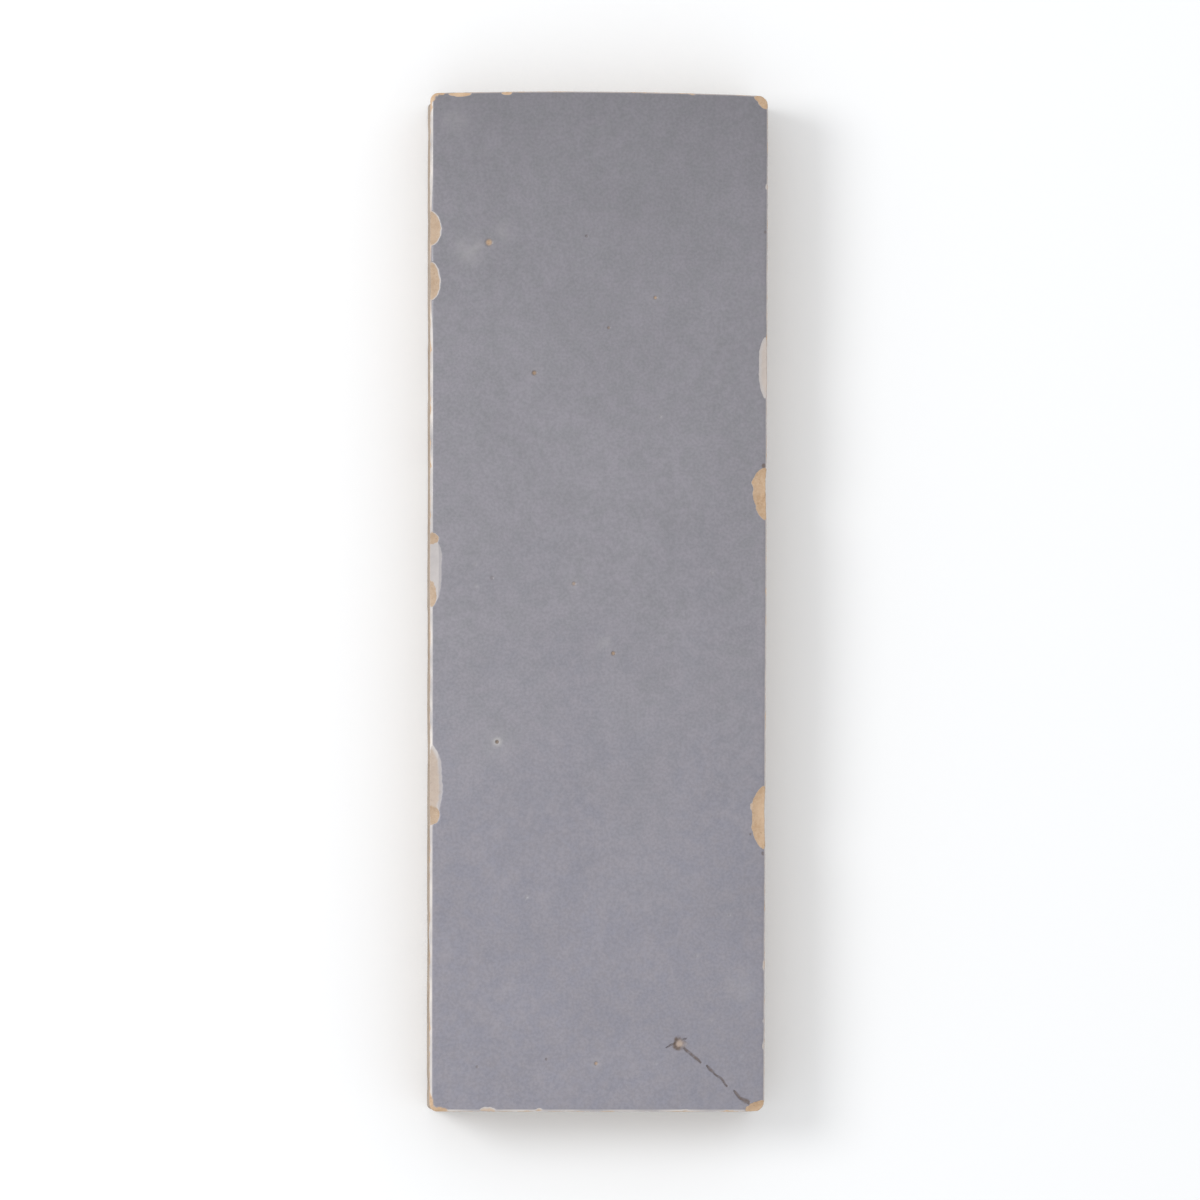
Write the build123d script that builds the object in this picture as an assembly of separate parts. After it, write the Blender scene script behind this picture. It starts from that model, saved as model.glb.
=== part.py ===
from build123d import *
from math import pi, radians, sin, sqrt, tan
import os

# A hand-cut zellige tile lying on its flat back, glazed face up.
# Millimetres: width along X, length along Y, thickness along Z, origin under the middle.

# Overall size: the outline of the glazed face and the height of its crest
length = 150.0
width = 50.0
thickness = 12.0

# Hand-cut outline: the right side leans in towards the near end, and the far end bows out
side_lean = 0.7
end_bow = 0.4
corner_radius = 1.2
side_draft = 2.0

# Glazed face: a shallow crown with two sets of slanting waves left by the hand
crown_across = 0.2
crown_along = 0.15
long_wave_height = 0.12
long_wave_length = 58.0
long_wave_slant = 95.0
short_wave_height = 0.05
short_wave_length = 31.0
short_wave_slant = 37.0
face_spacing = 6.0
face_overhang = 3.0
face_tolerance = 0.001

# Raw height above the crest, which the waving face cuts away
trim_height = 2.0

# Edges: the rolled arris of the glaze and the rubbed edge of the back
arris_radius = 0.6
back_edge_radius = 0.4

# Flakes knocked off the long edges, each as
# (distance from the end, length along the edge, reach over the face, drop down the side)
left_flakes_from_far_end = [
    (20.1, 5.4, 1.8, 1.0),
    (27.9, 6.0, 1.7, 1.0),
    (70.5, 11.0, 2.05, 0.7),
]
left_flakes_from_near_end = [
    (48.1, 12.0, 2.15, 0.7),
]
right_flakes_from_far_end = [
    (40.4, 9.4, 1.3, 0.6),
    (58.2, 6.4, 2.35, 1.0),
    (60.2, 6.4, 1.95, 1.0),
]
right_flakes_from_near_end = [
    (43.3, 9.7, 2.35, 1.0),
]

# Left corners rubbed round, each as (radius left on the face, drop down the corner)
far_left_rub = (2.7, 1.0)
near_left_rub = (2.6, 1.0)

# Right corners broken off, each as
# (reach along the end, reach along the side, drop down the corner, swing of the hollow)
far_right_break = (2.45, 2.5, 1.2, 6.0)
near_right_break = (3.0, 2.3, 1.2, 3.0)

half_length = length / 2
half_width = width / 2
back_inset = thickness * tan(radians(side_draft))


def face_height(x, y):
    """Height of the glazed face above the back."""
    crown = crown_across * (x / half_width) ** 2 + crown_along * (y / half_length) ** 2
    long_wave = long_wave_height * sin(2 * pi * (y / long_wave_length + x / long_wave_slant))
    short_wave = short_wave_height * sin(2 * pi * (y / short_wave_length - x / short_wave_slant))
    crest = thickness - long_wave_height - short_wave_height
    return crest - crown + long_wave + short_wave


def right_edge(y):
    """Where the leaning right side meets the face."""
    return half_width - side_lean * (half_length - y) / length


def spread(reach, spacing):
    """Evenly spaced values from -reach to reach, about one spacing apart."""
    count = max(4, round(2 * reach / spacing))
    return [-reach + 2 * reach * step / count for step in range(count + 1)]


def face_outline():
    """The outline of the glazed face, with its corners still sharp."""
    near_left = (-half_width, -half_length)
    near_right = (right_edge(-half_length), -half_length)
    far_right = (half_width, half_length - end_bow)
    far_left = (-half_width, half_length - end_bow)
    straight_sides = Polyline(far_left, near_left, near_right, far_right)
    bowed_end = ThreePointArc(far_right, (0, half_length), far_left)
    return make_face(straight_sides + bowed_end)


def waving_face():
    """The glazed face as one smooth sheet, a little larger than the tile."""
    across = spread(half_width + face_overhang, face_spacing)
    along = spread(half_length + face_overhang, face_spacing)
    grid = [[Vector(x, y, face_height(x, y)) for y in along] for x in across]
    return Face.make_surface_from_array_of_points(grid, tol=face_tolerance, min_deg=3)


def fired_body():
    """The drafted block under the waving face, with its corners, arris and back edge rounded."""
    back = offset(face_outline(), amount=-back_inset, kind=Kind.INTERSECTION)
    raw_height = thickness + trim_height
    block = extrude(back, amount=raw_height, taper=-side_draft)
    body = block - extrude(waving_face(), amount=raw_height, dir=(0, 0, 1))

    uprights = [edge for edge in body.edges() if edge.bounding_box().size.Z > thickness / 2]
    body = fillet(uprights, corner_radius)
    arris = body.faces().sort_by(Axis.Z)[-1].edges()
    body = fillet(arris, arris_radius)
    back_edges = body.faces().sort_by(Axis.Z)[0].edges()
    return fillet(back_edges, back_edge_radius)


def edge_flake(side, y, flake_length, reach, drop):
    """The hollow of a flake, as the sphere through its two ends, its reach and its drop."""
    edge = right_edge(y) if side > 0 else -half_width
    half = flake_length / 2
    outward = (half**2 - reach**2) / (2 * reach)
    upward = (half**2 - drop**2) / (2 * drop)
    radius = sqrt(half**2 + outward**2 + upward**2)
    centre = (edge + side * outward, y, face_height(edge, y) + upward)
    return Pos(*centre) * Sphere(radius)


def corner_place(side, end):
    """Where the two edges of a corner would meet on the face."""
    y = half_length - end_bow if end > 0 else -half_length
    x = right_edge(y) if side > 0 else -half_width
    return x, y, face_height(x, y)


def rubbed_corner(side, end, radius, drop):
    """The clay rubbed off a corner, outside a cone that widens down to the corner's own round."""
    x, y, top = corner_place(side, end)
    foot_radius = sqrt(2) * radius - (sqrt(2) - 1) * corner_radius
    kept = Cone(foot_radius, 2 * radius - foot_radius, 2 * drop)
    corner = Box(2 * radius, 2 * radius, 2 * drop)
    axis = Pos(x - side * radius, y - end * radius, top)
    return Pos(x, y, top) * corner - axis * kept


def corner_hollow(side, end, across, along, drop, swing):
    """The hollow of a broken corner, as the sphere through its two reaches and its drop."""
    x, y, top = corner_place(side, end)
    power = 2 * swing * across + across**2
    lengthwise = (power - along**2) / (2 * along)
    upward = (power - drop**2) / (2 * drop)
    radius = sqrt((swing + across) ** 2 + lengthwise**2 + upward**2)
    return Pos(x + side * swing, y + end * lengthwise, top + upward) * Sphere(radius)


def hollows():
    """Every flake and worn corner."""
    left = [(half_length - place, *flake) for place, *flake in left_flakes_from_far_end]
    left += [(place - half_length, *flake) for place, *flake in left_flakes_from_near_end]
    right = [(half_length - place, *flake) for place, *flake in right_flakes_from_far_end]
    right += [(place - half_length, *flake) for place, *flake in right_flakes_from_near_end]
    flakes = [edge_flake(-1, *flake) for flake in left] + [edge_flake(1, *flake) for flake in right]
    corners = [
        rubbed_corner(-1, 1, *far_left_rub),
        rubbed_corner(-1, -1, *near_left_rub),
        corner_hollow(1, 1, *far_right_break),
        corner_hollow(1, -1, *near_right_break),
    ]
    return flakes + corners


tile = fired_body()
for hollow in hollows():
    tile -= hollow

os.makedirs("parts", exist_ok=True)
export_step(tile, "parts/zellige_tile.step")
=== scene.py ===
import math
from collections import namedtuple

import bpy
import numpy as np
from mathutils import Matrix, Vector


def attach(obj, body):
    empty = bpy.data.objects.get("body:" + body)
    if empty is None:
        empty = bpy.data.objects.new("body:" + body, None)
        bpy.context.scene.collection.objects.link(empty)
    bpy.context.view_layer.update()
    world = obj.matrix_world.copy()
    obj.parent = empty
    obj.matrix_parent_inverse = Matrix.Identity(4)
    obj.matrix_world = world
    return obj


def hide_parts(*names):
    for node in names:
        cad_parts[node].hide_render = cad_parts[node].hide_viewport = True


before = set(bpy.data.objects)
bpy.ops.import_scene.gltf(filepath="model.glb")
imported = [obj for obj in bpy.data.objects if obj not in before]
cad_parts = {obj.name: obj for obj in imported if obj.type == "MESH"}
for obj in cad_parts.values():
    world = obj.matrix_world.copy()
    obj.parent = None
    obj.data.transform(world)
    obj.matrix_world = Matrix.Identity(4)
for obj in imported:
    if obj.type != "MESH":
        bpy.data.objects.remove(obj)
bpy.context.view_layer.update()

# All sizes below are millimetres, as in the part; meshes and lights are made in metres
MM = 0.001
NODE = "zellige_tile"

# The tile's own sizes, as in the part
LENGTH, WIDTH, THICKNESS = 150.0, 50.0, 12.0
SIDE_LEAN, END_BOW = 0.7, 0.4
CORNER_RADIUS, SIDE_DRAFT = 1.2, math.radians(2.0)
CROWN_ACROSS, CROWN_ALONG = 0.2, 0.15
LONG_WAVE_HEIGHT, LONG_WAVE_LENGTH, LONG_WAVE_SLANT = 0.12, 58.0, 95.0
SHORT_WAVE_HEIGHT, SHORT_WAVE_LENGTH, SHORT_WAVE_SLANT = 0.05, 31.0, 37.0
ARRIS_RADIUS, BACK_EDGE_RADIUS = 0.6, 0.4
HALF_LENGTH, HALF_WIDTH = LENGTH / 2, WIDTH / 2

# How far the dressed surface stays inside the solid
SKIN_INSET = 0.05

# Flakes off the edges: place and length along the edge, reach over the face, drop down the side,
# the power of its hollow, how deep its rim of broken glaze goes, and how much broken glaze and bare
# clay it shows
Flake = namedtuple("Flake", "edge place length reach drop hollow rim broken bared")
FLAKES = [
    Flake("left", 54.9, 5.4, 1.65, 1.0, 1.3, 0.20, 0.9, 1.0),
    Flake("left", 47.1, 6.0, 1.55, 1.0, 1.3, 0.20, 0.9, 1.0),
    Flake("left", 4.5, 11.0, 1.85, 0.7, 1.2, 0.30, 0.45, 0.0),
    Flake("left", 9.1, 2.0, 1.35, 0.85, 1.3, 0.05, 0.8, 1.0),
    Flake("left", 1.4, 5.0, 1.15, 1.0, 1.3, 0.10, 0.8, 1.0),
    Flake("left", -26.9, 12.0, 1.9, 0.7, 1.2, 0.25, 0.55, 0.6),
    Flake("left", -31.4, 3.2, 1.55, 1.0, 1.5, 0.10, 0.8, 1.0),
    Flake("right", 61.4, 1.6, 0.5, 0.4, 1.3, 0.20, 0.9, 0.2),
    Flake("right", 34.6, 10.0, 1.35, 0.65, 1.3, 0.30, 0.9, 0.2),
    Flake("right", 16.6, 6.8, 2.33, 1.0, 1.3, 0.05, 0.8, 1.0),
    Flake("right", 15.1, 6.2, 1.8, 1.0, 1.3, 0.05, 0.8, 1.0),
    Flake("right", -31.7, 9.7, 2.15, 1.0, 1.3, 0.05, 0.8, 1.0),
    Flake("right", -30.3, 2.6, 2.5, 0.5, 1.0, 0.04, 0.7, 0.65),
    Flake("right", -53.5, 2.6, 0.5, 0.4, 1.3, 0.20, 0.9, 0.5),
    Flake("right", -61.6, 1.3, 0.5, 0.3, 1.3, 0.20, 0.9, 0.1),
    Flake("right", -65.2, 2.2, 0.5, 0.4, 1.3, 0.20, 0.9, 0.2),
    Flake("far", -20.6, 4.2, 0.75, 0.5, 1.3, 0.05, 0.8, 1.0),
    Flake("far", -13.7, 2.2, 0.6, 0.5, 1.3, 0.08, 0.8, 1.0),
    Flake("far", 6.6, 1.6, 0.4, 0.4, 1.3, 0.10, 0.8, 1.0),
    Flake("far", 13.8, 1.8, 0.45, 0.4, 1.3, 0.10, 0.8, 1.0),
    Flake("near", -16.3, 3.0, 0.75, 0.5, 1.3, 0.25, 1.0, 0.6),
    Flake("near", -8.7, 1.7, 0.6, 0.4, 1.3, 0.22, 0.9, 0.8),
    Flake("near", 13.1, 2.0, 0.45, 0.4, 1.3, 0.20, 0.9, 0.3),
]

# The way into the tile from each edge
INTO = {"left": (1, 0), "right": (-1, 0), "far": (0, -1), "near": (0, 1)}

# Worn corners: side and end, reach along the end and along the side, drop, hollow, depth of the rim
Corner = namedtuple("Corner", "side end across along drop hollow rim")
CORNERS = [
    Corner(-1, 1, 2.6, 2.9, 1.0, 0.64, 0.03),
    Corner(1, 1, 2.65, 2.85, 1.2, 1.0, 0.04),
    Corner(-1, -1, 2.8, 2.9, 1.0, 0.64, 0.03),
    Corner(1, -1, 3.05, 1.75, 1.2, 2.0, 0.05),
    Corner(1, -1, 1.2, 2.6, 1.0, 0.9, 0.05),
]

# How much broken glaze a worn corner shows
CORNER_BROKEN = 0.8

# How far a place can move when a piece breaks off, and how often that way is halved
FURTHEST_BREAK, BREAK_STEPS = 6.0, 24

# Glaze rubbed off the left corners: end, radius of the glaze left there, and the bands along
# the end and along the side as (length, width)
Rub = namedtuple("Rub", "end radius along_end along_side")
RUBS = [
    Rub(1, 2.7, (3.2, 0.40), (3.4, 0.30)),
    Rub(-1, 2.2, (3.0, 0.75), (2.8, 0.60)),
]

# How far the rubbed corners lie under the glaze, and how softly its edge ends there
RUB_DEPTH, RUB_BLUR = 0.04, 0.06

# Pinholes of the glaze: place, radius, depth, how brown and how clay-coloured its floor is,
# and the strength and radius of its pale halo, a painted highlight round the pit
Pinhole = namedtuple("Pinhole", "x y radius depth brown clay halo halo_radius")
PINHOLES = [
    Pinhole(-16.3, 52.7, 0.75, 0.16, 0.25, 0.95, 0.05, 1.0),
    Pinhole(-1.9, 53.6, 0.28, 0.14, 0.28, 0.0, 0.0, 0.5),
    Pinhole(8.3, 44.6, 0.36, 0.18, 0.2, 0.85, 0.05, 0.8),
    Pinhole(1.4, 40.1, 0.30, 0.12, 0.4, 0.3, 0.0, 0.6),
    Pinhole(-9.6, 33.4, 0.48, 0.22, 0.42, 0.85, 0.05, 1.0),
    Pinhole(9.1, 27.1, 0.25, 0.08, 0.0, 0.0, 0.14, 0.35),
    Pinhole(-18.2, 5.3, 0.20, 0.04, 0.0, 0.0, 0.12, 0.35),
    Pinhole(-18.1, 2.1, 0.20, 0.04, 0.0, 0.0, 0.15, 0.35),
    Pinhole(-15.8, 3.3, 0.38, 0.12, 0.18, 0.0, 0.0, 0.7),
    Pinhole(-3.7, 2.4, 0.42, 0.14, 0.2, 0.45, 0.08, 0.9),
    Pinhole(16.8, 4.2, 0.25, 0.08, 0.0, 0.0, 0.12, 0.4),
    Pinhole(2.2, -7.8, 0.42, 0.20, 0.4, 0.85, 0.05, 0.8),
    Pinhole(-15.0, -20.8, 0.36, 0.24, 0.6, 0.5, 0.75, 0.62),
    Pinhole(-10.6, -43.6, 0.30, 0.10, 0.0, 0.0, 0.3, 0.3),
    Pinhole(14.7, -52.1, 0.30, 0.08, 0.0, 0.0, 0.13, 0.4),
    Pinhole(19.6, -46.1, 0.25, 0.08, 0.0, 0.0, 0.12, 0.4),
    Pinhole(16.9, -61.6, 0.25, 0.04, 0.0, 0.0, 0.1, 0.4),
    Pinhole(21.3, -66.9, 0.25, 0.04, 0.0, 0.0, 0.1, 0.4),
    Pinhole(8.7, -67.9, 0.25, 0.04, 0.0, 0.0, 0.1, 0.4),
    Pinhole(-7.6, -67.3, 0.26, 0.14, 0.3, 0.0, 0.0, 0.5),
    Pinhole(-0.2, -67.9, 0.38, 0.18, 0.2, 0.75, 0.12, 0.8),
    Pinhole(-17.9, -68.4, 0.26, 0.08, 0.3, 0.0, 0.0, 0.5),
    Pinhole(24.6, 54.7, 0.30, 0.05, 0.4, 0.0, 0.0, 0.5),
    Pinhole(24.5, 20.15, 0.42, 0.08, 0.75, 0.0, 0.0, 0.5),
    Pinhole(24.6, -37.0, 0.36, 0.08, 0.5, 0.0, 0.0, 0.5),
    Pinhole(22.7, -34.2, 0.22, 0.08, 0.5, 0.0, 0.0, 0.5),
]

# Shallow dimples and pale clouds of the glaze, partly painted highlights: place, radius, depth,
# paleness
Dimple = namedtuple("Dimple", "x y radius depth pale")
DIMPLES = [
    Dimple(-16.8, 52.4, 3.4, 0.05, 0.0),
    Dimple(-19.2, 51.6, 2.6, 0.0, 0.21),
    Dimple(-14.2, 54.5, 1.6, 0.0, 0.12),
    Dimple(-15.0, -20.8, 2.6, 0.05, 0.08),
    Dimple(0.8, -6.4, 1.4, 0.0, 0.14),
    Dimple(-21.5, 71.0, 2.6, 0.0, 0.08),
    Dimple(21.5, -57.0, 3.0, 0.03, 0.10),
]

# The star pit near one corner, its short arms, and the broken crack from it to the corner
STAR_PLACE, STAR_RADIUS, STAR_DEPTH = (12.2, -65.0), 1.1, 0.2
CRACK_DEPTH = 0.18
Crack = namedtuple("Crack", "width brown points")
CRACKS = [
    Crack(0.17, 0.5, [(11.5, -64.95), (10.9, -65.2), (10.2, -65.6)]),
    Crack(0.17, 0.55, [(12.8, -64.35), (13.3, -64.2)]),
    Crack(0.26, 0.75, [(12.9, -65.7), (14.3, -66.75), (15.4, -67.75)]),
    Crack(0.26, 0.75, [(16.3, -68.2), (17.4, -69.4), (18.35, -70.0), (19.3, -71.2)]),
    Crack(0.28, 0.8, [(20.4, -71.9), (21.4, -73.0), (22.6, -73.75)]),
    Crack(0.42, 0.8, [(21.6, -73.0), (22.5, -73.55)]),
]

# Where the glaze thins over the arris, a pale line with a painted highlight, strongest on the left
# edge: how strong the line is, and how far down the arris it starts
EdgeLine = namedtuple("EdgeLine", "strength start")
EDGE_LINES = {
    "left": EdgeLine(0.85, 0.01),
    "near": EdgeLine(0.65, 0.04),
    "right": EdgeLine(0.65, 0.10),
    "far": EdgeLine(0.6, 0.12),
}

# Where the glaze of the left edge is worn further, so that the line is tan: place, reach and
# extra start
WARM_PLACE, WARM_REACH, WARM_START = 50.6, 9.5, 0.13

# Glaze: how far its lip comes down the side, how softly the hewn clay starts there, and how thick
# it is
GLAZE_LIP, LIP_BLUR, GLAZE_DEPTH = 0.42, 0.15, 0.12

# Painted shade that darkens the clay in the flakes of the left edge
LEFT_PAINTED_SHADE = 0.5

# Glaze tone: painted shade, how much darker the far end is and how far that reaches, and painted
# shade falling across per mm from left to right; and where the glaze turns from bluer to greyer
# along the tile
FAR_PAINTED_SHADE, FAR_SHADE_REACH, ACROSS_PAINTED_SHADE = 0.27, 38.0, 0.0014
GREYER_ALONG = (-55.0, 15.0)

# Hewn sides: blows of the hammer, how far each tilts and cuts, how softly they meet, the deepest
# facet, and the heights between which they rise from a small share at the foot
BLOWS, BLOW_TILT, BLOW_DEPTH, BLOW_BLEND, DEEPEST_FACET = 260, 0.09, 0.3, 1.5, 0.5
FOOT_LOW, FOOT_HIGH, FOOT_SHARE = 0.2, 2.2, 0.1

# Darker colour lower down the sides: the depths where it starts and where it is full, and how far
# it covers
LOWER_SIDE_START, LOWER_SIDE_FULL, LOWER_SIDE_SHARE = 1.0, 3.8, 0.75

# Short runs of glaze down the sides, under its lip
Run = namedtuple("Run", "edge place width length")
RUNS = [
    Run("left", 62.0, 1.7, 1.3),
    Run("left", -49.0, 2.3, 2.0),
    Run("right", 47.5, 1.9, 1.6),
    Run("right", -8.0, 1.6, 0.9),
    Run("right", -60.0, 1.5, 1.3),
    Run("far", 17.5, 2.0, 1.4),
    Run("near", 4.0, 2.2, 1.7),
]

# The sheet that is wrapped over face, arris and sides: widest cell, halvings, and its zones
WIDEST_CELL, HALVINGS = 1.25, 4
FINEST_CELL = WIDEST_CELL / 2**HALVINGS
FACE_U, FACE_V = 19 * WIDEST_CELL, 59 * WIDEST_CELL
APRON = 11 * WIDEST_CELL
MARGIN_END, ROLL_END, SIDE_END = 0.625, 1.5625, 12.5
SHEET_U, SHEET_V = FACE_U + APRON, FACE_V + APRON

# Room that finer squares take round each mark: along and across a flake's edge, inside and under a
# corner, beside and under a run, and all round pits and the star
FLAKE_ROOM, CORNER_ROOM, RUN_ROOM = (0.3, 0.4), (0.5, 0.3), (0.6, 0.5)
PIT_ROOM, STAR_ROOM = 0.2, 0.3

# Waves in each set of smooth noise
RIPPLE_WAVES = 24

# Colours as 0 to 255 display values
GLAZE_BLUER, GLAZE_GREYER, GLAZE_MOTTLE = (134, 133, 144), (134, 133, 139), (140, 137, 145)
# The pale glaze colour also paints highlights beside pits and dimples
PALE_GLAZE_AND_HIGHLIGHT, GLAZE_BROKEN = (190, 187, 185), (195, 189, 186)
# The arris line's pale colour is thin glaze with a painted highlight
THIN_PALE_AND_HIGHLIGHT, THIN_TAN = (216, 209, 203), (176, 150, 134)
CLAY_DARK, CLAY_LIGHT = (185, 154, 123), (202, 173, 144)
CLAY_GRAIN, CLAY_SPECK = (209, 185, 157), (138, 107, 82)
# Darker colours of the sides lower down
LOWER_SIDE_DARK, LOWER_SIDE_LIGHT = (132, 123, 114), (155, 147, 139)
PIT_BROWN = (95, 77, 65)

# Sheen, as roughness, and the fine bumps of clay and glaze
GLAZE_ROUGHNESS, CLAY_ROUGHNESS = (0.26, 0.36), 0.85
BUMP_STRENGTH, BUMP_HEIGHT, GLAZE_BUMP = 0.4, 0.15, 0.02

# Stage: floor, light and sky, and the camera, whose place is given from the middle of the face
FLOOR_REACH, FLOOR_COLOUR, FLOOR_ROUGHNESS = 3000.0, (0.893, 0.905, 0.918, 1), 0.9
KEY_PLACE, KEY_SIZE, KEY_POWER = (-565.0, 150.0, 545.0), 340.0, 2.3
SKY_STRENGTH = 0.905
FRAME_HEIGHT, CAMERA_PLACE, SENSOR = 176.0, (-129.0, -82.0, 1500.0), 36.0


def face_height(x, y):
    """Height of the glazed face above the back, as in the part."""
    crest = THICKNESS - LONG_WAVE_HEIGHT - SHORT_WAVE_HEIGHT
    crown = CROWN_ACROSS * (x / HALF_WIDTH) ** 2 + CROWN_ALONG * (y / HALF_LENGTH) ** 2
    long_turn = 2 * np.pi * (y / LONG_WAVE_LENGTH + x / LONG_WAVE_SLANT)
    short_turn = 2 * np.pi * (y / SHORT_WAVE_LENGTH - x / SHORT_WAVE_SLANT)
    long_wave = LONG_WAVE_HEIGHT * np.sin(long_turn)
    short_wave = SHORT_WAVE_HEIGHT * np.sin(short_turn)
    return crest - crown + long_wave + short_wave


def ripple(points, wavelength, seed):
    """Smooth noise of about unit size: waves of about one length in many directions."""
    rng = np.random.default_rng(seed)
    directions = rng.normal(size=(RIPPLE_WAVES, points.shape[1]))
    directions /= np.linalg.norm(directions, axis=1, keepdims=True)
    pitch = 2 * np.pi / (wavelength * rng.uniform(0.7, 1.4, RIPPLE_WAVES))
    phase = rng.uniform(0, 2 * np.pi, RIPPLE_WAVES)
    waves = np.cos(points @ (directions * pitch[:, None]).T + phase)
    return waves.sum(axis=1) * math.sqrt(2 / RIPPLE_WAVES)


def smoothstep(low, high, value):
    """0 up to low, rising smoothly to 1 at high."""
    t = np.clip((value - low) / (high - low), 0, 1)
    return t * t * (3 - 2 * t)


def fade(low, high, value):
    """1 up to low, falling smoothly to 0 at high."""
    return 1 - smoothstep(low, high, value)


def distance_to_line(x, y, points):
    """Distance from each place to a run of straight pieces, and the share of the run passed."""
    best = np.full(x.shape, np.inf)
    along = np.zeros(x.shape)
    pieces = list(zip(points[:-1], points[1:]))
    lengths = [math.dist(a, b) for a, b in pieces]
    done = 0.0
    for (a, b), length in zip(pieces, lengths):
        dx, dy = b[0] - a[0], b[1] - a[1]
        t = np.clip(((x - a[0]) * dx + (y - a[1]) * dy) / length**2, 0, 1)
        d = np.hypot(x - a[0] - t * dx, y - a[1] - t * dy)
        nearer = d < best
        best = np.where(nearer, d, best)
        along = np.where(nearer, (done + t * length) / sum(lengths), along)
        done += length
    return best, along


# The wrapped sheet, as squares that are halved where the surface has finer detail

def wanted_halvings():
    """How often each place of the sheet is halved, on the finest squares."""
    u = (np.arange(round(2 * SHEET_U / FINEST_CELL)) + 0.5) * FINEST_CELL - SHEET_U
    v = (np.arange(round(2 * SHEET_V / FINEST_CELL)) + 0.5) * FINEST_CELL - SHEET_V
    u, v = np.meshgrid(u, v, indexing="ij")
    over_u, over_v = np.abs(u) - FACE_U, np.abs(v) - FACE_V
    out = np.maximum(over_u, over_v)
    want = np.ones(u.shape, np.uint8)
    want[out > SIDE_END] = 0
    want[(np.minimum(over_u, over_v) > 0) & (out > ROLL_END + WIDEST_CELL)] = 0
    want[(out > -WIDEST_CELL / 2) & (out < ROLL_END + WIDEST_CELL / 2)] = 2
    want[(out > 0) & (out < ROLL_END)] = 3

    edge_of = {"left": (-u - FACE_U, v), "right": (u - FACE_U, v),
               "far": (v - FACE_V, u), "near": (-v - FACE_V, u)}
    for flake in FLAKES:
        outward, along = edge_of[flake.edge]
        beside, across = FLAKE_ROOM
        near = np.abs(along - flake.place) < flake.length / 2 + beside
        near &= outward > CORNER_RADIUS - flake.reach - across
        near &= outward < ROLL_END + flake.drop + across
        want[near] = 3
    for corner in CORNERS:
        inside, under = CORNER_ROOM
        near = corner.side * u > FACE_U + CORNER_RADIUS - corner.across - inside
        near &= corner.end * v > FACE_V + CORNER_RADIUS - corner.along - inside
        want[near & (out < ROLL_END + corner.drop + under)] = 3
    for run in RUNS:
        outward, along = edge_of[run.edge]
        beside, under = RUN_ROOM
        near = np.abs(along - run.place) < run.width / 2 + beside
        near &= (outward > ROLL_END) & (outward < ROLL_END + run.length + under)
        want[near] = np.maximum(want[near], 2)

    for hole in PINHOLES:
        want[np.hypot(u - hole.x, v - hole.y) < hole.radius + PIT_ROOM] = 4
    star = np.hypot(u - STAR_PLACE[0], v - STAR_PLACE[1])
    want[star < STAR_RADIUS + STAR_ROOM] = 4
    for crack in CRACKS:
        want[distance_to_line(u, v, crack.points)[0] < crack.width + PIT_ROOM] = 4
    return want


def grown(mask):
    """The mask and the squares around it."""
    wide = np.pad(mask, 1)
    rows = wide[:-2] | wide[1:-1] | wide[2:]
    return rows[:, :-2] | rows[:, 1:-1] | rows[:, 2:]


def any_in_blocks(mask, size):
    """Whether any square is set, for each block of squares."""
    rows, columns = mask.shape
    return mask.reshape(rows // size, size, columns // size, size).any(axis=(1, 3))


def sheet_squares():
    """Squares of each size, as lattice corners; neighbours differ by one halving at most."""
    want = wanted_halvings()
    halved = {}
    for level in reversed(range(HALVINGS)):
        halved[level] = any_in_blocks(want > level, 2 ** (HALVINGS - level))
        if level + 1 in halved:
            halved[level] |= any_in_blocks(grown(halved[level + 1]), 2)
    there = np.ones_like(halved[0])
    squares = []
    for level in range(HALVINGS + 1):
        split = halved[level] & there if level in halved else np.zeros_like(there)
        step = 2 ** (HALVINGS - level)
        squares.append((step, np.argwhere(there & ~split) * step))
        there = split.repeat(2, axis=0).repeat(2, axis=1)
    return squares


def sheet_mesh():
    """The sheet's lattice points and faces; a square with a finer neighbour is a fan."""
    squares = sheet_squares()
    shape = (round(2 * SHEET_U / FINEST_CELL) + 1, round(2 * SHEET_V / FINEST_CELL) + 1)
    used = np.zeros(shape, bool)
    for step, low in squares:
        for du, dv in ((0, 0), (step, 0), (step, step), (0, step)):
            used[low[:, 0] + du, low[:, 1] + dv] = True

    quads, fans = [], []
    for step, low in squares:
        corner = [low + offset for offset in ((0, 0), (step, 0), (step, step), (0, step))]
        half = step // 2
        middles = [low + offset for offset in ((half, 0), (step, half), (half, step), (0, half))]
        finer = [used[m[:, 0], m[:, 1]] if half else np.zeros(len(low), bool) for m in middles]
        plain = ~np.any(finer, axis=0)
        quads.append(np.stack([c[plain] for c in corner], axis=1))
        centre = low + half
        for k in range(4):
            start, end, middle = corner[k], corner[(k + 1) % 4], middles[k]
            cut, whole = finer[k], ~plain & ~finer[k]
            fans.append(np.stack([centre[cut], start[cut], middle[cut]], axis=1))
            fans.append(np.stack([centre[cut], middle[cut], end[cut]], axis=1))
            fans.append(np.stack([centre[whole], start[whole], end[whole]], axis=1))
    quads, fans = np.concatenate(quads), np.concatenate(fans)
    used[fans[:, 0, 0], fans[:, 0, 1]] = True

    number = np.full(shape, -1)
    lattice = np.argwhere(used)
    number[lattice[:, 0], lattice[:, 1]] = np.arange(len(lattice))
    faces = number[quads[..., 0], quads[..., 1]].tolist()
    faces += number[fans[..., 0], fans[..., 1]].tolist()
    return lattice * FINEST_CELL - (SHEET_U, SHEET_V), number, faces


# The tile's surface over the sheet

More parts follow.
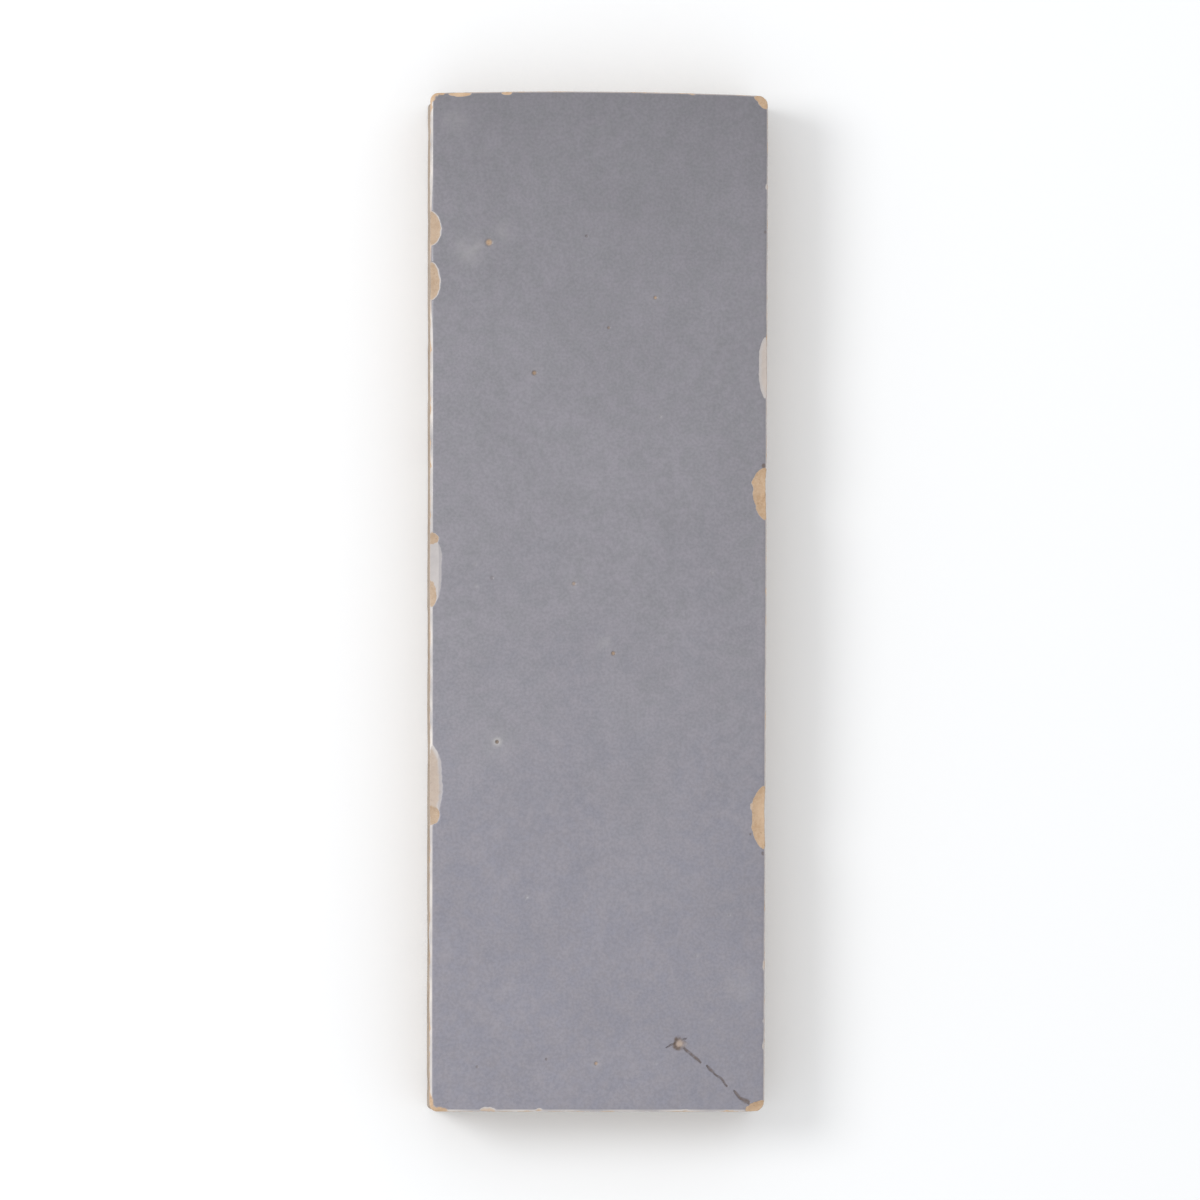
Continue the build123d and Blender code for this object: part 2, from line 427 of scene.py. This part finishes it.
def wrap(sheet):
    """The unbroken tile over the sheet: places, outward directions and depth under the face."""
    u, v = sheet.T
    core_u = np.clip(u, -FACE_U, FACE_U) * (HALF_WIDTH - CORNER_RADIUS) / FACE_U
    core_v = np.clip(v, -FACE_V, FACE_V) * (HALF_LENGTH - CORNER_RADIUS) / FACE_V
    over_u, over_v = np.maximum(np.abs(u) - FACE_U, 0), np.maximum(np.abs(v) - FACE_V, 0)
    out = np.maximum(over_u, over_v)
    share = np.minimum(over_u, over_v) / np.maximum(out, 1e-9)
    turn = np.where(over_u >= over_v, share, 2 - share) * np.pi / 4
    toward = np.stack([np.sign(u) * np.cos(turn), np.sign(v) * np.sin(turn)], axis=1)
    toward[out == 0] = 0

    # Over the margin and round the arris
    margin = CORNER_RADIUS - ARRIS_RADIUS
    rolled = np.clip((out - MARGIN_END) / (ROLL_END - MARGIN_END), 0, 1)
    roll = rolled * (np.pi / 2 + SIDE_DRAFT)
    offset = np.clip(out / MARGIN_END, 0, 1) * margin + ARRIS_RADIUS * np.sin(roll)
    drop = ARRIS_RADIUS * (1 - np.cos(roll))

    # Down the side and round the edge of the back
    edge_x, edge_y = core_u + toward[:, 0] * offset, core_v + toward[:, 1] * offset
    top = face_height(edge_x, edge_y)
    roll_drop = ARRIS_RADIUS * (1 + math.sin(SIDE_DRAFT))
    down = np.clip((out - ROLL_END) / (SIDE_END - ROLL_END), 0, 1)
    side_drop = down * (top - roll_drop - BACK_EDGE_RADIUS)
    under = np.clip((out - SIDE_END) / (APRON - SIDE_END), 0, 1) * np.pi / 2
    offset = offset - side_drop * math.tan(SIDE_DRAFT) - BACK_EDGE_RADIUS * (1 - np.cos(under))
    drop = drop + side_drop + BACK_EDGE_RADIUS * np.sin(under)
    offset = offset - SKIN_INSET * np.clip(out / MARGIN_END, 0, 1)
    x, y = core_u + toward[:, 0] * offset, core_v + toward[:, 1] * offset
    return np.stack([x, y, top - drop], axis=1), toward, drop


def edge_frame(places, edge):
    """Distance in from an edge of the face, and place along it."""
    x, y = places[:, 0], places[:, 1]
    if edge == "left":
        return x + HALF_WIDTH, y
    if edge == "right":
        return HALF_WIDTH - x, y
    if edge == "far":
        return HALF_LENGTH - y, x
    return y + HALF_LENGTH, x


def glaze_lip(places):
    """How far down the glaze comes at each place."""
    lip = GLAZE_LIP + 0.07 * ripple(places, 3.0, 21) + 0.05 * ripple(places, 0.9, 22)
    for run in RUNS:
        inward, along = edge_frame(places, run.edge)
        beside = np.exp(-(((along - run.place) / (run.width / 2)) ** 4))
        lip = np.where(inward < CORNER_RADIUS, lip + run.length * beside, lip)
    return lip


def hewn_sides(places, drop):
    """How far the clay lies inside the side: facets of the hammer, upright strokes and grit."""
    side = smoothstep(ARRIS_RADIUS * 0.7, ARRIS_RADIUS + 1.2, drop)
    above_foot = smoothstep(FOOT_LOW, FOOT_HIGH, places[:, 2])
    side = side * (FOOT_SHARE + (1 - FOOT_SHARE) * above_foot)

    rng = np.random.default_rng(31)
    spans = ((-HALF_WIDTH, HALF_WIDTH), (-HALF_LENGTH, HALF_LENGTH), (0, THICKNESS))
    blows = np.concatenate([rng.uniform(*span, (BLOWS, 1)) for span in spans], axis=1)
    on_long_side = rng.random(BLOWS) < LENGTH / (LENGTH + WIDTH)
    side_sign = rng.choice([-1, 1], BLOWS)
    blows[on_long_side, 0] = side_sign[on_long_side] * HALF_WIDTH
    blows[~on_long_side, 1] = side_sign[~on_long_side] * HALF_LENGTH
    tilt = rng.normal(0, BLOW_TILT, (BLOWS, 3))
    depth = rng.uniform(0.0, BLOW_DEPTH, BLOWS)

    apart = places[:, None, :] - blows[None]
    away = (apart**2).sum(axis=2)
    weight = np.exp(-(away - away.min(axis=1, keepdims=True)) / BLOW_BLEND)
    facets = depth + (apart * tilt[None]).sum(axis=2)
    facet = np.clip((weight * facets).sum(axis=1) / weight.sum(axis=1), 0, DEEPEST_FACET)
    strokes = 0.035 * (1 + ripple(places * (1, 1, 0.3), 2.4, 34))
    grit = 0.03 * (1 + ripple(places, 1.6, 32)) + 0.02 * (1 + ripple(places, 1.3, 33))
    return side * (0.03 + facet + np.clip(strokes, 0, None) + np.clip(grit, 0, None))


def break_off(places, direction, keeps):
    """How far each place moves along the direction until keeps(places) is no longer negative."""
    low, high = np.zeros(len(places)), np.full(len(places), FURTHEST_BREAK)
    broken = keeps(places) < 0
    for _ in range(BREAK_STEPS):
        middle = (low + high) / 2
        inside = keeps(places + direction * middle[:, None]) < 0
        low, high = np.where(inside, middle, low), np.where(inside, high, middle)
    return np.where(broken, high, 0)


def flaked(places, top):
    """The tile with flakes and worn corners broken off, and the marks they leave at each place."""
    places = places.copy()
    marks = {name: np.zeros(len(places)) for name in ("chip", "broken", "bared", "dull")}
    marks["rim"] = np.full(len(places), GLAZE_DEPTH)

    def take_off(near, direction, keeps, **left_behind):
        spots = places[near]
        direction = np.array(direction)
        moved = break_off(spots, direction, keeps)
        places[near] = spots + moved[:, None] * direction
        marks["chip"][near] = np.maximum(marks["chip"][near], moved)
        for name, value in left_behind.items():
            marks[name][near] = np.where(moved > 0, value, marks[name][near])

    for number, flake in enumerate(FLAKES):
        inward, along = edge_frame(places, flake.edge)
        half = flake.length / 2
        near = (np.abs(along - flake.place) < half) & (inward < flake.reach * 1.6)
        near &= top - places[:, 2] < flake.drop * 1.8
        near = np.flatnonzero(near)

        def keeps(p):
            inward, along = edge_frame(p, flake.edge)
            share = np.clip(1 - np.abs((along - flake.place) / half) ** 2.4, 1e-6, None) ** 0.6
            rough = 1 + 0.035 * ripple(p, flake.length / 3, 100 + number)
            rough = rough + 0.015 * ripple(p, 0.9, 200 + number)
            reach, fall = flake.reach * share * rough, flake.drop * share * rough
            below = np.maximum(top[near] - p[:, 2], 0)
            over = (np.maximum(inward, 0) / reach) ** flake.hollow
            return over + (below / fall) ** flake.hollow - 1

        # The flakes of the left edge carry painted shade on their clay
        take_off(near, (*INTO[flake.edge], -1.0), keeps, rim=flake.rim, broken=flake.broken,
                 bared=flake.bared, dull=LEFT_PAINTED_SHADE if flake.edge == "left" else 0.0)

    for number, corner in enumerate(CORNERS):
        inward_x = HALF_WIDTH - corner.side * places[:, 0]
        inward_y = HALF_LENGTH - corner.end * places[:, 1]
        near = (inward_x < corner.across * 1.5) & (inward_y < corner.along * 1.5)
        near &= top - places[:, 2] < corner.drop * 1.8
        near = np.flatnonzero(near)

        def keeps(p):
            inward_x = np.maximum(HALF_WIDTH - corner.side * p[:, 0], 0)
            inward_y = np.maximum(HALF_LENGTH - corner.end * p[:, 1], 0)
            below = np.maximum(top[near] - p[:, 2], 0)
            rough = 1 + 0.02 * ripple(p, 1.5, 300 + number) + 0.015 * ripple(p, 0.6, 400 + number)
            terms = (inward_x / corner.across, inward_y / corner.along, below / corner.drop)
            return sum((term / rough) ** corner.hollow for term in terms) - 1

        direction = (-corner.side, -corner.end, -1.0)
        take_off(near, direction, keeps, rim=corner.rim, broken=CORNER_BROKEN, bared=1.0)
    return places, marks


def rubbed(places):
    """Where the glaze is rubbed off the left corners, 0 to 1."""
    share = np.zeros(len(places))
    wander = 0.05 * ripple(places, 1.4, 91) + 0.03 * ripple(places, 0.5, 92)
    from_side = places[:, 0] + HALF_WIDTH + wander
    for rub in RUBS:
        from_end = HALF_LENGTH - rub.end * places[:, 1] + wander
        in_from_side = np.maximum(rub.radius - from_side, 0)
        in_from_end = np.maximum(rub.radius - from_end, 0)
        past_round = np.hypot(in_from_side, in_from_end) - rub.radius
        end_length, end_width = rub.along_end
        side_length, side_width = rub.along_side
        end_band = end_width * np.clip(1 - (from_side / end_length) ** 4, 0, 1) - from_end
        side_band = side_width * np.clip(1 - (from_end / side_length) ** 4, 0, 1) - from_side
        past = np.maximum(past_round, np.maximum(end_band, side_band))
        in_corner = (from_side < end_length) & (from_end < side_length)
        share = np.maximum(share, smoothstep(-RUB_BLUR, RUB_BLUR, past) * in_corner)
    return share


def pitted(places, on_face):
    """Depth of pinholes, dimples, star pit and crack, with their brown, clay and pale shares; the
    pale share is pale glaze and painted highlights beside pits and dimples.
    """
    x, y = places[:, 0], places[:, 1]
    sunk, brown, clay, pale = (np.zeros(len(places)) for _ in range(4))
    for hole in PINHOLES:
        away = np.hypot(x - hole.x, y - hole.y)
        size = hole.radius
        sunk = np.maximum(sunk, hole.depth * fade(0.35 * size, size, away))
        brown = np.maximum(brown, hole.brown * fade(0.5 * size, 1.1 * size, away))
        clay = np.maximum(clay, hole.clay * fade(0.3 * size, 0.8 * size, away))
        # The pinhole's pale halo is a painted highlight
        pale = np.maximum(pale, hole.halo * np.exp(-((away / hole.halo_radius) ** 2)))
    for dimple in DIMPLES:
        away = np.hypot(x - dimple.x, y - dimple.y) / dimple.radius
        soft = np.exp(-2 * away**2)
        sunk = sunk + dimple.depth * soft
        # Pale clouds, some of them painted highlights beside the dimple
        cloud = np.clip(soft * (1 + 0.35 * ripple(places, 2.2, 51)), 0, 1)
        pale = np.maximum(pale, dimple.pale * cloud)

    # The star pit: a brown ring, darker on its left, round a pale floor
    dx, dy = x - STAR_PLACE[0], y - STAR_PLACE[1]
    away = np.hypot(dx, dy)
    around = np.arctan2(dy, dx)
    rim = STAR_RADIUS * (1 + 0.09 * np.cos(3 * around + 0.6) + 0.05 * ripple(places, 0.7, 52))
    sunk = np.maximum(sunk, STAR_DEPTH * fade(0.45 * rim, rim, away))
    ring = smoothstep(0.2 * rim, 0.6 * rim, away) * fade(0.75 * rim, 1.1 * rim, away)
    uneven = np.clip(1 + 0.2 * ripple(places, 0.6, 53), 0, 1.2)
    stain = 0.68 - 0.36 * np.maximum(np.cos(around - 0.3), -0.3)
    brown = np.maximum(brown, stain * ring * uneven)
    brown = np.maximum(brown, 0.14 * fade(0.3 * rim, 0.8 * rim, away))
    clay = np.maximum(clay, 0.5 * fade(0.25 * rim, 0.8 * rim, away))
    pale = np.maximum(pale, 0.5 * fade(0.1 * rim, 0.45 * rim, away))

    bent_x, bent_y = x + 0.03 * ripple(places, 1.3, 61), y + 0.03 * ripple(places, 1.3, 62)
    for number, crack in enumerate(CRACKS):
        away, along = distance_to_line(bent_x, bent_y, crack.points)
        width = crack.width * (0.55 + 0.45 * np.sin(np.pi * np.clip(along, 0.03, 0.97)))
        width = width * np.clip(1 + 0.2 * ripple(places, 1.6, 63 + number), 0.6, 1.5)
        groove = fade(0.25 * width, 1.1 * width, away)
        sunk = np.maximum(sunk, CRACK_DEPTH * groove)
        stain = np.clip(0.85 + 0.2 * ripple(places, 0.9, 73 + number), 0.4, 1)
        brown = np.maximum(brown, crack.brown * groove * stain)
    return sunk * on_face, brown * on_face, clay * on_face, pale * on_face


def edge_line(places, toward):
    """Strength of the pale line along the arris, thin glaze and painted highlight, and how far down
    the arris it starts.
    """
    across, along = toward.T
    weights = {"left": np.minimum(across, 0) ** 2, "right": np.maximum(across, 0) ** 2,
               "near": np.minimum(along, 0) ** 2, "far": np.maximum(along, 0) ** 2}
    strength = sum(weights[edge] * line.strength for edge, line in EDGE_LINES.items())
    start = sum(weights[edge] * line.start for edge, line in EDGE_LINES.items())
    warm = np.exp(-(((places[:, 1] - WARM_PLACE) / WARM_REACH) ** 6))
    start = start + weights["left"] * WARM_START * warm
    return strength * (1 + 0.15 * ripple(places, 6.0, 81)), start


def lower_side_darkening(places, drop):
    """How far the sides turn to a darker colour lower down, with an uneven upper edge."""
    uneven = 0.8 * ripple(places, 9.0, 84) + 0.4 * ripple(places, 2.8, 85)
    return smoothstep(LOWER_SIDE_START, LOWER_SIDE_FULL, drop + uneven * smoothstep(0.6, 1.6, drop))


def hand_cut(places):
    """The outline's lean and bow, as in the part."""
    x, y = places[:, 0], places[:, 1]
    lean = SIDE_LEAN * (HALF_LENGTH - y) / LENGTH * (x + HALF_WIDTH) / WIDTH
    bow = END_BOW * (x / HALF_WIDTH) ** 2 * (y + HALF_LENGTH) / LENGTH
    return places - np.stack([lean, bow, np.zeros(len(x))], axis=1)


def back_grid(places, number):
    """The back over the sheet's outer edge: new places and faces."""
    step = 2**HALVINGS
    index = number[::step, ::step].copy()
    columns, rows = index.shape
    across = places[index[:, 0], 0]
    along = places[index[0, :], 1]
    inner_x, inner_y = np.meshgrid(across[1:-1], along[1:-1], indexing="ij")
    flat = np.stack([inner_x.ravel(), inner_y.ravel(), np.zeros(inner_x.size)], axis=1)
    inset = np.minimum(HALF_WIDTH - np.abs(flat[:, 0]), HALF_LENGTH - np.abs(flat[:, 1]))
    rough = 0.10 * (1 + ripple(flat[:, :2], 14.0, 71)) + 0.05 * (1 + ripple(flat[:, :2], 4.5, 72))
    flat[:, 2] = np.clip(rough, 0, None) * smoothstep(0.5, 3.0, inset)
    index[1:-1, 1:-1] = len(places) + np.arange(len(flat)).reshape(columns - 2, rows - 2)
    faces = np.stack([index[:-1, :-1], index[:-1, 1:], index[1:, 1:], index[1:, :-1]], axis=-1)
    return flat, faces.reshape(-1, 4).tolist()


def build_tile():
    """The dressed tile, as one closed mesh with the values that its finish reads."""
    sheet, number, faces = sheet_mesh()
    unbroken, toward, drop = wrap(sheet)
    top = unbroken[:, 2] + drop
    lip = glaze_lip(unbroken)
    bare = smoothstep(-LIP_BLUR, LIP_BLUR, drop - lip)
    hewn = unbroken.copy()
    hewn[:, :2] -= toward * (hewn_sides(unbroken, drop) * bare)[:, None]
    places, marks = flaked(hewn, top)
    below = top - places[:, 2]
    line, line_start = edge_line(unbroken, toward)
    # Painted shade in the flakes of the left edge, and the sides darker lower down
    dull = np.maximum(marks["dull"], lower_side_darkening(unbroken, drop))

    # Pits and rubbed corners, and the fine unevenness of the glaze
    on_face = fade(0.0, 0.3, drop + marks["chip"])
    sunk, brown, clay, pale = pitted(places, on_face)
    rub = rubbed(unbroken) * fade(1.5, 2.5, drop)
    clay = np.maximum(clay, rub)
    sunk = np.maximum(sunk, RUB_DEPTH * rub)
    on_plan = places[:, :2]
    skin = 0.006 * ripple(on_plan, 5.0, 41) + 0.004 * ripple(on_plan, 2.4, 42) - SKIN_INSET
    places[:, 2] += skin * on_face - sunk

    # Painted shade: the glaze darker towards the far end and towards the right
    from_far = np.maximum(HALF_LENGTH - places[:, 1], 0)
    tone_and_painted_shade = (1 - FAR_PAINTED_SHADE * np.exp(-from_far / FAR_SHADE_REACH)) * (1 - ACROSS_PAINTED_SHADE * places[:, 0])

    flat, back_faces = back_grid(places, number)
    places = hand_cut(np.concatenate([places, flat]))
    mesh = bpy.data.meshes.new("zellige_tile_glazed")
    mesh.from_pydata((places * MM).tolist(), [], faces + back_faces)
    mesh.shade_smooth()

    # Each value, and what it is all over the back
    values = {
        "below": (below, THICKNESS), "lip": (lip, GLAZE_LIP),
        "line": (line, 0), "line_start": (line_start, 0),
        "brown": (brown, 0), "clay": (clay, 0), "pale": (pale, 0), "dull": (dull, 0),
        "rim": (marks["rim"], GLAZE_DEPTH), "tone_and_painted_shade": (tone_and_painted_shade, 1),
        "chip": (marks["chip"], 0), "broken": (marks["broken"], 0), "bared": (marks["bared"], 0),
    }
    for name, (value, on_back) in values.items():
        layer = mesh.attributes.new(name, "FLOAT", "POINT")
        whole = np.concatenate([value, np.full(len(flat), on_back)])
        layer.data.foreach_set("value", whole.astype(np.float32))
    mesh.validate()
    tile = bpy.data.objects.new("zellige_tile_glazed", mesh)
    bpy.context.collection.objects.link(tile)
    return tile


# Finish: one fired surface, with glaze, broken glaze and bare clay where each shows

def linear(display):
    """The colour for a shader, from 0 to 255 display values."""
    def channel(value):
        value /= 255
        return value / 12.92 if value <= 0.04045 else ((value + 0.055) / 1.055) ** 2.4
    return (*(channel(value) for value in display), 1.0)


class Nodes:
    """Short ways to add nodes to one material."""

    def __init__(self, material):
        self.tree = material.node_tree

    def add(self, kind, inputs=None, **settings):
        node = self.tree.nodes.new(kind)
        for name, value in settings.items():
            setattr(node, name, value)
        for name, value in (inputs or {}).items():
            self.put(node.inputs[name], value)
        return node

    def put(self, socket, value):
        if isinstance(value, bpy.types.NodeSocket):
            self.tree.links.new(value, socket)
        else:
            socket.default_value = value

    def attribute(self, name):
        return self.add("ShaderNodeAttribute", attribute_name=name).outputs["Fac"]

    def noise(self, where, scale, detail=2.0, roughness=0.5):
        inputs = {"Vector": where, "Scale": scale, "Detail": detail, "Roughness": roughness}
        return self.add("ShaderNodeTexNoise", inputs).outputs["Fac"]

    def math(self, operation, a, b):
        node = self.add("ShaderNodeMath", operation=operation)
        self.put(node.inputs[0], a)
        self.put(node.inputs[1], b)
        return node.outputs[0]

    def times(self, first, *others):
        for other in others:
            first = self.math("MULTIPLY", first, other)
        return first

    def ramp(self, value, low, high, to_low=0.0, to_high=1.0):
        """Smooth step from to_low at low to to_high at high."""
        node = self.add("ShaderNodeMapRange", interpolation_type="SMOOTHSTEP")
        for name, given in (("Value", value), ("From Min", low), ("From Max", high),
                            ("To Min", to_low), ("To Max", to_high)):
            self.put(node.inputs[name], given)
        return node.outputs["Result"]

    def mix(self, share, a, b, blend="MIX"):
        """A colour; a mix node keeps its colours in sockets 6, 7 and 2."""
        node = self.add("ShaderNodeMix", data_type="RGBA", blend_type=blend)
        self.put(node.inputs[0], share)
        self.put(node.inputs[6], a)
        self.put(node.inputs[7], b)
        return node.outputs[2]

    def between(self, share, a, b):
        """A number; a mix node keeps its numbers in sockets 2, 3 and 0."""
        node = self.add("ShaderNodeMix", data_type="FLOAT")
        self.put(node.inputs[0], share)
        self.put(node.inputs[2], a)
        self.put(node.inputs[3], b)
        return node.outputs[0]


def glaze_colour(nodes, where, grain):
    """Grey glaze, bluer towards the near end, with soft mottle, fine grain and painted shade that
    darkens the far end and the right.
    """
    clouds = nodes.noise(where, 0.085, 3.0, 0.55)
    mottle = nodes.noise(where, 0.55, 3.0, 0.6)
    along = nodes.add("ShaderNodeSeparateXYZ", {"Vector": where}).outputs["Y"]
    along = nodes.math("ADD", along, nodes.ramp(clouds, 0.3, 0.7, -15.0, 15.0))
    greyer = nodes.ramp(along, *GREYER_ALONG)
    colour = nodes.mix(greyer, linear(GLAZE_BLUER), linear(GLAZE_GREYER))
    colour = nodes.mix(nodes.ramp(mottle, 0.25, 0.75), colour, linear(GLAZE_MOTTLE))
    veil = nodes.ramp(nodes.noise(where, 0.07, 4.0, 0.8), 0.3, 0.7, 0.965, 1.035)
    fine = nodes.ramp(grain, 0.3, 0.7, 0.93, 1.07)
    # Fine grain and veil, times the painted shade from the mesh
    tone_and_painted_shade = nodes.times(fine, nodes.attribute("tone_and_painted_shade"), veil)
    channels = {"Red": tone_and_painted_shade, "Green": tone_and_painted_shade, "Blue": tone_and_painted_shade}
    grey = nodes.add("ShaderNodeCombineColor", channels).outputs[0]
    return nodes.mix(1.0, colour, grey, "MULTIPLY")


def clay_colour(nodes, where, grain):
    """Fired clay with paler grain and dark specks, turning to a darker colour lower down the sides,
    and darkened with painted shade in the flakes of the left edge.
    """
    beds = nodes.noise(where, 0.35, 4.0, 0.6)
    specks = nodes.noise(where, 2.6, 1.0)
    patches = nodes.noise(where, 0.22, 4.0, 0.65)
    colour = nodes.mix(nodes.ramp(beds, 0.3, 0.7), linear(CLAY_DARK), linear(CLAY_LIGHT))
    colour = nodes.mix(nodes.ramp(grain, 0.35, 0.75, 0.0, 0.5), colour, linear(CLAY_GRAIN))
    colour = nodes.mix(nodes.ramp(specks, 0.66, 0.76, 0.0, 0.4), colour, linear(CLAY_SPECK))
    # Darker colour lower down the sides, also the painted shade of the left flakes
    lower_side = nodes.mix(nodes.ramp(patches, 0.3, 0.7), linear(LOWER_SIDE_DARK), linear(LOWER_SIDE_LIGHT))
    return nodes.mix(nodes.times(nodes.attribute("dull"), LOWER_SIDE_SHARE), colour, lower_side)


def fired_finish():
    """The one material, which reads from the mesh where glaze, broken glaze and clay show."""
    material = bpy.data.materials.new("glazed_clay")
    material.use_nodes = True
    nodes = Nodes(material)
    shader = material.node_tree.nodes["Principled BSDF"]
    scaled = nodes.add("ShaderNodeVectorMath", operation="SCALE")
    nodes.put(scaled.inputs[0], nodes.add("ShaderNodeTexCoord").outputs["Object"])
    scaled.inputs["Scale"].default_value = 1 / MM
    where = scaled.outputs[0]

    # Where flakes are, and where bare clay shows: under the lip, in flakes and in pits
    grain = nodes.noise(where, 2.4, 2.0, 0.6)
    ragged = nodes.math("SUBTRACT", nodes.noise(where, 1.7, 3.0, 0.6), 0.5)
    chip, below = nodes.attribute("chip"), nodes.attribute("below")
    depth = nodes.math("ADD", below, nodes.times(ragged, 0.12))
    over_lip = nodes.math("SUBTRACT", depth, nodes.attribute("lip"))
    chipped = nodes.ramp(chip, 0.01, 0.05)
    unchipped = nodes.math("SUBTRACT", 1.0, chipped)
    bare = nodes.times(nodes.ramp(over_lip, -0.05, 0.05), unchipped)
    through_rim = nodes.ramp(nodes.math("DIVIDE", depth, nodes.attribute("rim")), 0.6, 1.4)
    in_clay = nodes.times(chipped, through_rim, nodes.attribute("bared"))
    clay = nodes.math("MAXIMUM", bare, in_clay)
    clay = nodes.math("MAXIMUM", clay, nodes.attribute("clay"))

    # The pale line along the arris, thin glaze and painted highlight strongest on the left edge,
    # weaker in flakes and tan where it starts low
    line_start = nodes.attribute("line_start")
    on_arris = nodes.ramp(nodes.math("SUBTRACT", below, line_start), 0.0, 0.09)
    patches = nodes.ramp(nodes.noise(where, 0.3, 2.0), 0.3, 0.7, 0.6, 1.0)
    weaker = nodes.ramp(chip, 0.01, 0.05, 1.0, 0.6)
    thin_glaze_and_highlight = nodes.times(on_arris, nodes.attribute("line"), patches, weaker)
    tan = nodes.ramp(line_start, 0.06, 0.2)
    thin_colour = nodes.mix(tan, linear(THIN_PALE_AND_HIGHLIGHT), linear(THIN_TAN))

    broken = nodes.times(chipped, nodes.attribute("broken"))
    colour = glaze_colour(nodes, where, grain)
    # Pale glaze, with painted highlights beside pits and dimples
    colour = nodes.mix(nodes.attribute("pale"), colour, linear(PALE_GLAZE_AND_HIGHLIGHT))
    colour = nodes.mix(thin_glaze_and_highlight, colour, thin_colour)
    colour = nodes.mix(broken, colour, linear(GLAZE_BROKEN))
    colour = nodes.mix(clay, colour, clay_colour(nodes, where, grain))
    colour = nodes.mix(nodes.attribute("brown"), colour, linear(PIT_BROWN))
    nodes.put(shader.inputs["Base Color"], colour)

    satin = nodes.ramp(nodes.noise(where, 0.4, 3.0), 0.3, 0.7, *GLAZE_ROUGHNESS)
    matt = nodes.math("MAXIMUM", clay, chipped)
    nodes.put(shader.inputs["Roughness"], nodes.between(matt, satin, CLAY_ROUGHNESS))

    grit = nodes.noise(where, 3.2, 4.0, 0.65)
    relief = nodes.between(clay, nodes.times(grain, GLAZE_BUMP), grit)
    bumps = {"Strength": BUMP_STRENGTH, "Distance": BUMP_HEIGHT * MM, "Height": relief}
    nodes.put(shader.inputs["Normal"], nodes.add("ShaderNodeBump", bumps).outputs[0])
    return material


# Stage: plain floor, soft light from the upper left, and the camera

def build_floor():
    reach = FLOOR_REACH * MM
    corners = [(-reach, -reach, 0), (reach, -reach, 0), (reach, reach, 0), (-reach, reach, 0)]
    mesh = bpy.data.meshes.new("floor")
    mesh.from_pydata(corners, [], [(0, 1, 2, 3)])
    material = bpy.data.materials.new("floor")
    material.use_nodes = True
    shader = material.node_tree.nodes["Principled BSDF"]
    shader.inputs["Base Color"].default_value = FLOOR_COLOUR
    shader.inputs["Roughness"].default_value = FLOOR_ROUGHNESS
    mesh.materials.append(material)
    floor = bpy.data.objects.new("floor", mesh)
    bpy.context.collection.objects.link(floor)


def aim(thing, place, target):
    """Puts a thing at a place, looking at the target, with +Y up in its picture."""
    ahead = (target - place).normalized()
    up = (Vector((0, 1, 0)) - ahead * ahead.y).normalized()
    right = ahead.cross(up)
    turn = Matrix((right, up, -ahead)).transposed().to_4x4()
    thing.matrix_world = Matrix.Translation(place) @ turn


def build_key_light():
    light = bpy.data.lights.new("key", "AREA")
    light.shape = "DISK"
    light.size = KEY_SIZE * MM
    light.energy = KEY_POWER
    thing = bpy.data.objects.new("key", light)
    bpy.context.collection.objects.link(thing)
    aim(thing, Vector(KEY_PLACE) * MM, Vector((0, 0, 0)))


def build_sky():
    world = bpy.data.worlds.new("studio")
    world.use_nodes = True
    sky = world.node_tree.nodes["Background"]
    sky.inputs["Color"].default_value = (1, 1, 1, 1)
    sky.inputs["Strength"].default_value = SKY_STRENGTH
    bpy.context.scene.world = world


def build_camera():
    camera = bpy.data.cameras.new("camera")
    target = Vector((0, 0, THICKNESS * MM))
    place = target + Vector(CAMERA_PLACE) * MM
    camera.sensor_width = SENSOR
    camera.lens = SENSOR * (place - target).length / (FRAME_HEIGHT * MM)
    thing = bpy.data.objects.new("camera", camera)
    bpy.context.collection.objects.link(thing)
    aim(thing, place, target)
    bpy.context.scene.camera = thing
    bpy.context.scene.view_settings.view_transform = "Standard"


tile = build_tile()
tile.data.materials.append(fired_finish())
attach(tile, "root")
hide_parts(NODE)
build_floor()
build_key_light()
build_sky()
build_camera()
